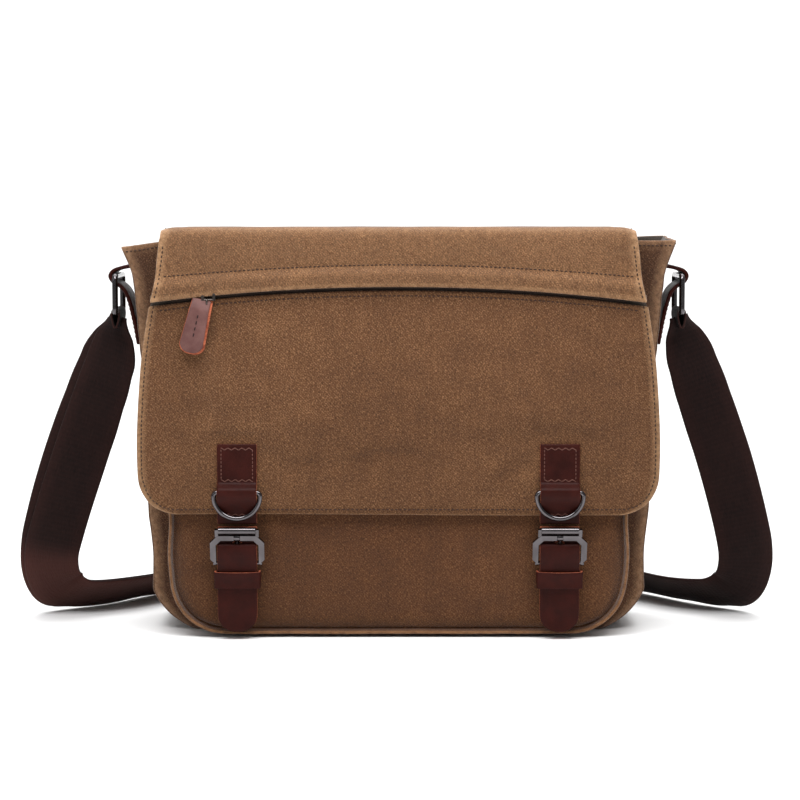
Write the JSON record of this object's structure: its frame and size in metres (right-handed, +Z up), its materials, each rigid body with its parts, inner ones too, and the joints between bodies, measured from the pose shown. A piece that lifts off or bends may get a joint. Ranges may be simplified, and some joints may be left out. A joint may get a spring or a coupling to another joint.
{
  "type": "messenger bag",
  "caption": "Canvas messenger bag with a zipped flap, buckled leather closures on magnetic snaps, a gusseted front pocket and an adjustable webbing shoulder strap.",
  "frame": {"origin": "centre of the base of the bag's box, without the shoulder strap, on the surface it stands on", "axes": "+X along the bag's width, to the viewer's right when the flap faces the viewer; -Y out of the flap; +Z up"},
  "size_m": [0.526, 0.2658, 0.2695],
  "materials": {
    "canvas": "washed cotton canvas, heathered brown",
    "lining": "plain woven lining",
    "leather": "oiled dark reddish brown leather with orange cut edges",
    "webbing": "dark brown woven webbing",
    "gunmetal": "polished gunmetal nickel",
    "zip_coil": "nylon coil",
    "zip_tape": "woven tape",
    "board": "stiff board"
  },
  "bodies": {
    "root": {"back_panel": "canvas", "main_front_panel": "canvas", "gusset_left": "canvas", "gusset_right": "canvas", "bottom_panel": "canvas", "lining": "lining", "base_board": "board", "pocket_front_panel": "canvas", "pocket_flange": "canvas", "pocket_gusset": "canvas", "strap_tab_left": "leather", "strap_tab_right": "leather", "snap_socket_left": "gunmetal", "snap_socket_right": "gunmetal", "shoulder_strap_left": "webbing", "shoulder_strap_right": "webbing", "strap_slider": "gunmetal"},
    "flap_top": {"flap_top_panel": "canvas"},
    "flap_front": {"flap_upper_band": "canvas", "flap_lower_panel": "canvas", "flap_lining": "lining", "zip_placket": "canvas", "zip_tape_upper": "zip_tape", "zip_tape_lower": "zip_tape", "zip_coil": "zip_coil", "zip_end_stops": "gunmetal", "leather_patch_left": "leather", "leather_patch_right": "leather"},
    "slider": {"zip_slider": "gunmetal"},
    "pull": {"zip_pull_link": "gunmetal", "zip_pull_leather": "leather"},
    "closure_left": {"closure_strap_left": "leather", "buckle_frame_left": "gunmetal", "buckle_tab_left": "leather", "keeper_left": "leather", "snap_stud_left": "gunmetal"},
    "d_ring_left": {"d_ring_left": "gunmetal"},
    "roller_left": {"roller_left": "gunmetal"},
    "prong_left": {"prong_left": "gunmetal"},
    "ring_left": {"side_ring_left": "gunmetal", "strap_end_loop_left": "webbing"},
    "closure_right": {"closure_strap_right": "leather", "buckle_frame_right": "gunmetal", "buckle_tab_right": "leather", "keeper_right": "leather", "snap_stud_right": "gunmetal"},
    "d_ring_right": {"d_ring_right": "gunmetal"},
    "roller_right": {"roller_right": "gunmetal"},
    "prong_right": {"prong_right": "gunmetal"},
    "ring_right": {"side_ring_right": "gunmetal", "strap_end_loop_right": "webbing"}
  },
  "joints": [
    {"name": "flap_back_fold", "type": "hinge", "parent": "root", "child": "flap_top", "pos_m": [0, 0.058, 0.266], "axis": [-1, 0, 0], "range_deg": [0, 180]},
    {"name": "flap_front_fold", "type": "hinge", "parent": "flap_top", "child": "flap_front", "pos_m": [0, -0.049, 0.268], "axis": [-1, 0, 0], "range_deg": [0, 150]},
    {"name": "zip_travel", "type": "slide", "parent": "flap_front", "child": "slider", "axis": [1, 0, 0], "range_m": [-0.014, 0.262]},
    {"name": "pull_swing", "type": "hinge", "parent": "slider", "child": "pull", "pos_m": [-0.126, -0.0543, 0.2265], "axis": [-1, 0, 0], "range_deg": [0, 105]},
    {"name": "closure_lift_left", "type": "hinge", "parent": "flap_front", "child": "closure_left", "pos_m": [-0.107, -0.0534, 0.0765], "axis": [-1, 0, 0], "range_deg": [0, 90]},
    {"name": "d_ring_swing_left", "type": "hinge", "parent": "flap_front", "child": "d_ring_left", "pos_m": [-0.107, -0.0553, 0.0988], "axis": [-1, 0, 0], "range_deg": [0, 90]},
    {"name": "roller_spin_left", "type": "hinge", "parent": "closure_left", "child": "roller_left", "pos_m": [-0.107, -0.0572, 0.0736], "axis": [1, 0, 0], "continuous": true},
    {"name": "prong_lift_left", "type": "hinge", "parent": "closure_left", "child": "prong_left", "pos_m": [-0.107, -0.05565, 0.06894], "axis": [-1, 0, 0], "range_deg": [0, 100]},
    {"name": "ring_swing_left", "type": "hinge", "parent": "root", "child": "ring_left", "pos_m": [-0.1925, 0.02, 0.24], "axis": [0, 1, 0], "range_deg": [0, 75]},
    {"name": "closure_lift_right", "type": "hinge", "parent": "flap_front", "child": "closure_right", "pos_m": [0.107, -0.0534, 0.0765], "axis": [-1, 0, 0], "range_deg": [0, 90]},
    {"name": "d_ring_swing_right", "type": "hinge", "parent": "flap_front", "child": "d_ring_right", "pos_m": [0.107, -0.0553, 0.0988], "axis": [-1, 0, 0], "range_deg": [0, 90]},
    {"name": "roller_spin_right", "type": "hinge", "parent": "closure_right", "child": "roller_right", "pos_m": [0.107, -0.0572, 0.0736], "axis": [1, 0, 0], "continuous": true},
    {"name": "prong_lift_right", "type": "hinge", "parent": "closure_right", "child": "prong_right", "pos_m": [0.107, -0.05565, 0.06894], "axis": [-1, 0, 0], "range_deg": [0, 100]},
    {"name": "ring_swing_right", "type": "hinge", "parent": "root", "child": "ring_right", "pos_m": [0.1925, 0.02, 0.24], "axis": [0, -1, 0], "range_deg": [0, 75]}
  ],
  "couplings": [
    {"joint": "d_ring_swing_left", "follows": "closure_lift_left", "ratio": 1},
    {"joint": "d_ring_swing_right", "follows": "closure_lift_right", "ratio": 1}
  ]
}
